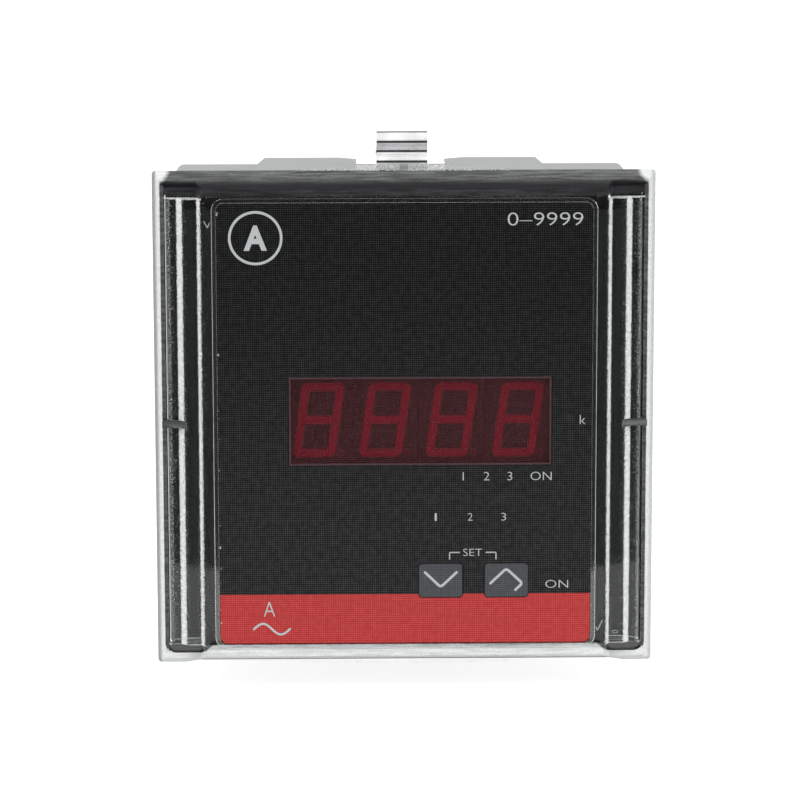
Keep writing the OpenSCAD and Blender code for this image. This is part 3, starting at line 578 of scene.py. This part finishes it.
def round_rectangle(w, h, radius, cx=0.0, cz=0.0, fine=10):
    """Points round a rectangle with round corners, and the outward direction at each."""
    turn = np.concatenate([np.linspace(90 * k, 90 * (k + 1), fine) for k in range(4)]) * np.pi / 180
    out = np.stack([np.cos(turn), np.sin(turn)], axis=-1)
    quarter = np.repeat(np.arange(4), fine)
    sx = np.where((quarter == 0) | (quarter == 3), 1, -1)
    sz = np.where(quarter < 2, 1, -1)
    middle = np.stack([sx * (w / 2 - radius) + cx, sz * (h / 2 - radius) + cz], axis=-1)
    return middle + radius * out, out


label_low, label_high = [np.array(v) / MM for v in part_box("front_label")]
label_w, label_h = label_high[0] - label_low[0], label_high[2] - label_low[2]
label_z = (label_high[2] + label_low[2]) / 2
path, out = round_rectangle(label_w + 0.2, label_h + 0.2, 1.4, cz=label_z)
BEAD_W, BEAD_H, bead_y = 0.9, 0.3, SEAT_Y - COVER_LEVEL[3]
angle = np.linspace(0, np.pi, 13)
profile = np.stack([BEAD_W / 2 * (1 - np.sign(np.cos(angle)) * np.abs(np.cos(angle)) ** 0.4),
                    bead_y - BEAD_H * np.sin(angle) ** 0.4], axis=-1)
profile = np.concatenate([profile, [[BEAD_W, bead_y + 0.02], [0.0, bead_y + 0.02]]])
pts, quads = swept(path, profile, out)
bead = solid("label_bead", pts, quads, clear)
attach(bead, "housing")

# --- Label -----------------------------------------------------------------------------------
# A polyester film, printed black and red from behind and stuck into its seat in the cover.
# Its face has a fine woven emboss; the lamps show through as faint round spots.
weave, given, result = effect(
    "woven_emboss", [("Place", "v", None), ("Pitch", "f", 0.41 * MM), ("Width", "f", 0.17)], [("Mask", "f")])
parts = node(weave, "ShaderNodeSeparateXYZ", {0: given["Place"]})
found = []
for axis in (0, 2):
    turn = sums(weave, "FRACT", sums(weave, "DIVIDE", parts.outputs[axis], given["Pitch"]))
    off = sums(weave, "ABSOLUTE", sums(weave, "SUBTRACT", turn, 0.5))
    found.append(ranged(weave, off, 0.5, sums(weave, "SUBTRACT", 0.5, given["Width"]), 1.0, 0.0))
uneven = node(weave, "ShaderNodeTexNoise", {"Vector": given["Place"], "Scale": 900.0, "Detail": 2.0})
lines = sums(weave, "MAXIMUM", sums(weave, "MULTIPLY", found[0], 0.9), found[1])
weave.links.new(sums(weave, "MULTIPLY", lines, ranged(weave, uneven.outputs[0], 0.3, 0.7, 0.6, 1.15)),
                result["Mask"])

BAND_TOP = -32.9 * MM
made, tree, shader, place = finish("printed_label", Roughness=0.6, Specular_IOR_Level=0.08)
split = node(tree, "ShaderNodeSeparateXYZ", {0: place}).outputs
band = ranged(tree, split[2], BAND_TOP + 0.04 * MM, BAND_TOP - 0.04 * MM)
paler = ranged(tree, split[2], 40 * MM, -34 * MM, 0.0, 1.0)
black = mixed(tree, paler, (0.0005, 0.0006, 0.0006), (0.003, 0.0032, 0.0032))
ink = mixed(tree, band, black, (0.36, 0.03, 0.03))
grey = mixed(tree, paler, (0.043, 0.044, 0.044), (0.08, 0.081, 0.081))
thread = mixed(tree, band, grey, (0.66, 0.105, 0.1))
lattice = use(tree, weave, Place=place)["Mask"]
colour = mixed(tree, lattice, ink, thread)
spots = None
for name in ("lamp_kilo", "lamp_phase_1", "lamp_phase_2", "lamp_phase_3", "lamp_link"):
    low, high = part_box(name)
    tip = ((low[0] + high[0]) / 2, label_low[1] * MM, (low[2] + high[2]) / 2 + 0.3 * MM)
    away = node(tree, "ShaderNodeVectorMath", {0: place, 1: tip}, operation="DISTANCE").outputs["Value"]
    spot = ranged(tree, away, 1.05 * MM, 0.85 * MM)
    spots = spot if spots is None else sums(tree, "MAXIMUM", spots, spot)
colour = mixed(tree, sums(tree, "MULTIPLY", spots, 0.2), colour, (0.05, 0.044, 0.044))
chips = node(tree, "ShaderNodeTexNoise", {"Vector": place, "Scale": 900.0, "Detail": 3.0})
near_edge = ranged(tree, split[0], (label_low[0] + 0.35) * MM, label_low[0] * MM)
chipped = sums(tree, "MULTIPLY", near_edge, ranged(tree, chips.outputs[0], 0.62, 0.66))
colour = mixed(tree, chipped, colour, (0.7, 0.72, 0.71))
feed(tree, shader, Base_Color=colour,
     Normal=node(tree, "ShaderNodeBump", {"Strength": 0.3, "Distance": 0.03 * MM,
                                          "Height": lattice}).outputs[0])
dress(made, "front_label")

# --- Display filter --------------------------------------------------------------------------
# The clear red part of the film over the figures: it darkens the unlit bars to a dull red.
# A paler line of lacquer runs round it.
low, high = [np.array(v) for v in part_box("display_window")]
made, tree, shader, place = finish("red_filter", Roughness=0.55, Specular_IOR_Level=0.12)
split = node(tree, "ShaderNodeSeparateXYZ", {0: place}).outputs
side = sums(tree, "ABSOLUTE", sums(tree, "SUBTRACT", split[0], (low[0] + high[0]) / 2))
rise = sums(tree, "ABSOLUTE", sums(tree, "SUBTRACT", split[2], (low[2] + high[2]) / 2))
LINE_FROM, LINE_TO = 0.45 * MM, 0.25 * MM
half_w, half_h = (high[0] - low[0]) / 2, (high[2] - low[2]) / 2
border = sums(tree, "MAXIMUM", ranged(tree, side, half_w - LINE_FROM, half_w - LINE_TO),
              ranged(tree, rise, half_h - LINE_FROM, half_h - LINE_TO))
lattice = use(tree, weave, Place=place)["Mask"]
colour = mixed(tree, lattice, (0.028, 0.005, 0.007), (0.13, 0.04, 0.045))
colour = mixed(tree, border, colour, (0.1, 0.06, 0.07))
feed(tree, shader, Base_Color=colour,
     Alpha=sums(tree, "MAXIMUM", sums(tree, "MULTIPLY", border, 0.6),
                ranged(tree, lattice, 0.0, 1.0, 0.25, 0.6)))
dress(made, "display_window")

# --- Keys ------------------------------------------------------------------------------------
# Two grey key tops in the film, each with a pale printed arrow; pressing one closes its switch.
made, tree, shader, place = finish("key_film", Roughness=0.55, Specular_IOR_Level=0.12)
lattice = use(tree, weave, Place=place)["Mask"]
feed(tree, shader, Base_Color=mixed(tree, lattice, (0.05, 0.053, 0.058), (0.125, 0.129, 0.137)),
     Normal=node(tree, "ShaderNodeBump", {"Strength": 0.3, "Distance": 0.03 * MM,
                                          "Height": lattice}).outputs[0])
dress(made, "key_down", "key_up")

INK_T, INK_GAP = 0.02, 0.004
pale, tree, shader, place = finish("pale_print", Roughness=0.6, Specular_IOR_Level=0.2)
lattice = use(tree, weave, Place=place)["Mask"]
feed(tree, shader, Base_Color=mixed(tree, lattice, (0.42, 0.44, 0.45), (0.62, 0.64, 0.65)))


def stroke(name, line, width, face_y, body, material=pale):
    """A printed line: a flat ribbon of even width along the given points, with round ends, as a thin
    closed slab. At each point the two edges lie half a width to either side of the line."""
    line = np.asarray(line, float)
    step = np.gradient(line, axis=0)
    step /= np.linalg.norm(step, axis=1)[:, None]
    side = np.stack([-step[:, 1], step[:, 0]], axis=-1) * width / 2
    turn = np.linspace(-np.pi / 2, np.pi / 2, 7)[1:-1, None]
    cap = lambda p, d: p + width / 2 * (np.cos(turn) * d + np.sin(turn) * np.array([-d[1], d[0]]))
    outline = np.concatenate([line - side, cap(line[-1], step[-1]), (line + side)[::-1],
                              cap(line[0], -step[0])])
    plate(name, outline, face_y, body, material)


def plate(name, outline, face_y, body, material):
    """A thin slab with the given outline, standing forward of the face."""
    n = len(outline)
    front = np.stack([outline[:, 0], np.full(n, face_y - INK_T), outline[:, 1]], axis=-1)
    rear = front + [0, INK_T - INK_GAP, 0]
    mesh_faces = [list(range(n)), list(range(2 * n - 1, n - 1, -1))]
    mesh_faces += [[i, i + n, (i + 1) % n + n, (i + 1) % n] for i in range(n)]
    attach(solid(name, np.concatenate([front, rear]), mesh_faces, material, smooth=False), body)


def through(corners, radius=0.5, fine=6):
    """A path through the given corners, each one rounded to a circle of the given radius."""
    corners = [np.array(c, float) for c in corners]
    path = [corners[0]]
    for before, here, after in zip(corners, corners[1:], corners[2:]):
        a, b = before - here, after - here
        a, b = a / np.linalg.norm(a), b / np.linalg.norm(b)
        t = np.linspace(0, 1, fine)[:, None]
        start, stop = here + a * radius, here + b * radius
        path += list((1 - t) ** 2 * start + 2 * t * (1 - t) * here + t * t * stop)
    return np.array(path + [corners[-1]])


key_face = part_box("key_down")[0].y / MM
stroke("key_down_arrow", through([(3.8, -28.7), (6.8, -31.6), (9.85, -28.7)], 0.6), 0.5, key_face,
       "key_down_cap")
stroke("key_up_arrow", through([(16.35, -30.9), (19.4, -28.0), (22.5, -30.9), (21.15, -32.2)], 0.6), 0.5,
       key_face, "key_up_cap")

# --- Print on the label ----------------------------------------------------------------------
# Pale ink under the film: plain numbers, an ampere sign in a ring, a wave for alternating current
# and a bracket that joins the two keys.
LABEL_FACE = label_low[1]


def words(name, text, x0, x1, z0, z1, bold=0.0):
    """A line of print that fills the space between two places across and two heights."""
    curve = bpy.data.curves.new(name, "FONT")
    curve.body = text
    curve.size = 1.0
    curve.offset = bold - 0.012
    curve.extrude = 0.5
    curve.resolution_u = 3
    made = bpy.data.objects.new(name, curve)
    bpy.context.scene.collection.objects.link(made)
    bpy.context.view_layer.update()
    mesh = bpy.data.meshes.new_from_object(made.evaluated_get(bpy.context.evaluated_depsgraph_get()))
    bpy.data.objects.remove(made)
    co = np.zeros(len(mesh.vertices) * 3)
    mesh.vertices.foreach_get("co", co)
    co = co.reshape(-1, 3)
    flat = (co[:, :2] - co[:, :2].min(0)) / np.ptp(co[:, :2], axis=0) * [x1 - x0, z1 - z0]
    depth = np.where(co[:, 2] > 0, INK_T, INK_GAP)
    placed = np.stack([flat[:, 0] + x0, LABEL_FACE - depth, flat[:, 1] + z0], axis=-1) * MM
    mesh.vertices.foreach_set("co", placed.ravel())
    mesh.materials.clear()
    mesh.materials.append(pale)
    mesh.update()
    printed = bpy.data.objects.new(name, mesh)
    bpy.context.scene.collection.objects.link(printed)
    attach(printed, "housing")


words("print_range", "0–9999", 19.4, 33.7, 38.2, 40.7)
words("print_unit", "A", -27.2, -25.0, -37.2, -34.3)
words("print_row", "1    2    3    ON", 11.0, 28.0, -10.75, -9.1)
words("print_kilo", "k", 33.3, 34.4, 0.1, 1.85)
for place_x, mark in zip((5.35, 11.95, 18.35), "123"):
    half = (0.4 if mark == "1" else 0.95) / 2
    words("print_phase_" + mark, mark, place_x + 0.5 - half, place_x + 0.5 + half, -18.6, -17.1)
words("print_set", "SET", 11.1, 14.75, -25.5, -24.1)
words("print_link", "ON", 26.9, 31.3, -31.85, -30.3)

stroke("print_bracket_left", through([(8.5, -26.1), (8.5, -24.8), (10.4, -24.8)], 0.25), 0.22, LABEL_FACE,
       "housing")
stroke("print_bracket_right", through([(17.4, -26.1), (17.4, -24.8), (15.5, -24.8)], 0.25), 0.22,
       LABEL_FACE, "housing")
t = np.linspace(0, 1, 41)
stroke("print_wave", np.stack([-29.1 + 6.9 * t, -39.7 + 1.05 * np.sin(2 * np.pi * t)], axis=-1), 0.42,
       LABEL_FACE, "housing")

# The ampere sign: the letter in a ring, as on a circuit drawing.
turn = np.linspace(0, 2 * np.pi, 65)[:-1]
circle = np.stack([np.cos(turn), np.sin(turn)], axis=-1)
ring_path = circle * 4.9 + [-28.2, 36.0]
RING_HALF_W, ink_front, ink_rear = 0.25, LABEL_FACE - INK_T, LABEL_FACE - INK_GAP
square = np.array([[-RING_HALF_W, ink_front], [RING_HALF_W, ink_front], [RING_HALF_W, ink_rear],
                   [-RING_HALF_W, ink_rear]])
pts, quads = swept(ring_path, square, circle)
ring = solid("print_ampere_ring", pts, quads, pale, smooth=False)
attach(ring, "housing")
words("print_ampere", "A", -30.4, -26.0, 33.6, 38.4, 0.05)

# Scuffs from handling on the clear margins: a forked scratch, a tick and a small ring.
scuff, tree, shader, place = finish("scuffed_face", Roughness=0.7)
grain = use(tree, speckle, Place=place, Amount=0.8, Scale=4200.0)["Mask"]
feed(tree, shader, Alpha=sums(tree, "MULTIPLY", grain, 0.75),
     Base_Color=mixed(tree, grain, (0.25, 0.26, 0.26), (0.5, 0.52, 0.52)))
margin_y, ledge_y = SEAT_Y - COVER_LEVEL[3] - 0.01, SEAT_Y - COVER_LEVEL[2] - 0.01
stroke("scuff_fork", through([(-37.9, 39.2), (-37.2, 38.0), (-36.8, 38.9)], 0.2), 0.16, margin_y,
       "housing", scuff)
stroke("scuff_tick", through([(36.7, -39.6), (37.0, -40.3), (37.9, -38.4)], 0.2), 0.18, margin_y,
       "housing", scuff)
t = np.linspace(0.1, 1.95 * np.pi, 25)
stroke("scuff_ring", np.stack([40.5 + 0.55 * np.cos(t), -40.9 + 0.28 * np.sin(t)], axis=-1), 0.13, ledge_y,
       "housing", scuff)

# --- Clips -----------------------------------------------------------------------------------
# Two strips of bright nickel-plated spring steel with a corrugated upright leaf, which slide in
# channels on the case and press the panel against the cover. The mostly diffuse white of the steel is
# partly a painted reflection, and the dark lines at the folds of the leaf are painted shade and painted
# dark reflections.
FOLD_PITCH, LEAF_H, LEAF_TOP = 1.95 * MM, 6.4 * MM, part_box("clip_top")[1].z
made, tree, shader, place = finish("bright_spring_steel", Metallic=0.35)
skin = use(tree, drawn, Place=place, Colour=(0.93, 0.935, 0.94), Rough=0.3, Fine=0.15)
# Dark lines across the leaf at each fold: painted shade and painted dark reflection.
from_middle = sums(tree, "ABSOLUTE", node(tree, "ShaderNodeSeparateXYZ", {0: place}).outputs[2])
down = sums(tree, "SUBTRACT", LEAF_TOP, from_middle)
from_fold = sums(tree, "PINGPONG", down, FOLD_PITCH / 2)
on_leaf = ranged(tree, down, LEAF_H, LEAF_H - 0.3 * MM)
painted_fold_shade = sums(tree, "MULTIPLY", on_leaf, ranged(tree, from_fold, 0.3 * MM, 0.16 * MM))
feed(tree, shader, Roughness=skin["Roughness"], Normal=skin["Normal"],
     Base_Color=mixed(tree, painted_fold_shade, skin["Colour"], (0.06, 0.06, 0.065)))
dress(made, "clip_top", "clip_bottom")

# --- Floor, light and camera -----------------------------------------------------------------
# A plain white floor, white all round and above, darker behind the camera, with two soft lamps.
# The floor ends a little way in front, so that the flat front doesn't mirror it.
FLOOR_HALF, FRONT_EDGE, bottom = 6.0, -0.12, cad_box[0][2]
floor_mesh = bpy.data.meshes.new("floor")
floor_mesh.from_pydata([(-FLOOR_HALF, FRONT_EDGE, bottom), (FLOOR_HALF, FRONT_EDGE, bottom),
                        (FLOOR_HALF, FLOOR_HALF, bottom), (-FLOOR_HALF, FLOOR_HALF, bottom)],
                       [], [(0, 1, 2, 3)])
floor = bpy.data.objects.new("floor", floor_mesh)
bpy.context.scene.collection.objects.link(floor)
made = bpy.data.materials.new("white_floor")
made.use_nodes = True
tree = made.node_tree
tree.nodes.clear()
path_of = node(tree, "ShaderNodeLightPath").outputs
seen = sums(tree, "MAXIMUM", path_of["Is Camera Ray"],
            sums(tree, "MAXIMUM", path_of["Is Glossy Ray"], path_of["Is Transmission Ray"]))
matt = node(tree, "ShaderNodeBsdfDiffuse", {"Color": (0.8, 0.8, 0.8, 1)})
faint = node(tree, "ShaderNodeBsdfDiffuse", {"Color": (0.4, 0.4, 0.4, 1)})
glow = node(tree, "ShaderNodeEmission", {"Color": (1, 1, 1, 1), "Strength": 0.88})
white = node(tree, "ShaderNodeAddShader", {0: faint.outputs[0], 1: glow.outputs[0]})
both = node(tree, "ShaderNodeMixShader", {0: seen, 1: matt.outputs[0], 2: white.outputs[0]})
node(tree, "ShaderNodeOutputMaterial", {0: both.outputs[0]})
floor_mesh.materials.append(made)

world = bpy.data.worlds.new("studio")
world.use_nodes = True
bpy.context.scene.world = world
tree = world.node_tree
tree.nodes.clear()
way = node(tree, "ShaderNodeSeparateXYZ", {0: node(tree, "ShaderNodeTexCoord").outputs["Generated"]}).outputs
around = ranged(tree, way[1], -0.93, -0.55, 0.12, 0.95)
is_camera = node(tree, "ShaderNodeLightPath").outputs["Is Camera Ray"]
level = node(tree, "ShaderNodeMix", {0: is_camera, 2: around, 3: 1.0}).outputs[0]
sky = node(tree, "ShaderNodeBackground", {"Color": (1, 1, 1, 1), "Strength": level})
node(tree, "ShaderNodeOutputWorld", {0: sky.outputs[0]})


def lamp(name, place, size, power):
    """A square soft lamp at a place, turned towards the middle of the front."""
    light = bpy.data.lights.new(name, "AREA")
    light.size = size
    light.energy = power
    made = bpy.data.objects.new(name, light)
    bpy.context.scene.collection.objects.link(made)
    made.location = place
    made.rotation_euler = (-Vector(place)).to_track_quat("-Z", "Y").to_euler()


lamp("key_lamp", (-0.55, -0.75, 0.75), 0.5, 6.0)
lamp("fill_lamp", (0.8, -0.6, 0.25), 0.5, 3.0)

ELEVATION, AZIMUTH, ROLL = math.radians(9.812), math.radians(-0.95), 0.001777
DISTANCE, RIGHT_SHIFT, UP_SHIFT, LENS = 655.0, -0.823, 3.501, 152.9235
back_way = Vector((math.sin(AZIMUTH) * math.cos(ELEVATION), -math.cos(AZIMUTH) * math.cos(ELEVATION),
                   math.sin(ELEVATION)))
right_way = Vector((math.cos(AZIMUTH), math.sin(AZIMUTH), 0))
up_way = back_way.cross(right_way)
spot = (DISTANCE * back_way + RIGHT_SHIFT * right_way + UP_SHIFT * up_way + Vector((0, SEAT_Y, 0))) * MM
cam_x = math.cos(ROLL) * right_way - math.sin(ROLL) * up_way
cam_y = math.sin(ROLL) * right_way + math.cos(ROLL) * up_way
camera_data = bpy.data.cameras.new("camera")
camera_data.sensor_width = 36.0
camera_data.lens = LENS
camera_data.clip_start = 0.01
camera = bpy.data.objects.new("camera", camera_data)
bpy.context.scene.collection.objects.link(camera)
camera.matrix_world = Matrix(((cam_x.x, cam_y.x, back_way.x, spot.x), (cam_x.y, cam_y.y, back_way.y, spot.y),
                              (cam_x.z, cam_y.z, back_way.z, spot.z), (0, 0, 0, 1)))
bpy.context.scene.camera = camera
bpy.context.scene.view_settings.view_transform = "Standard"
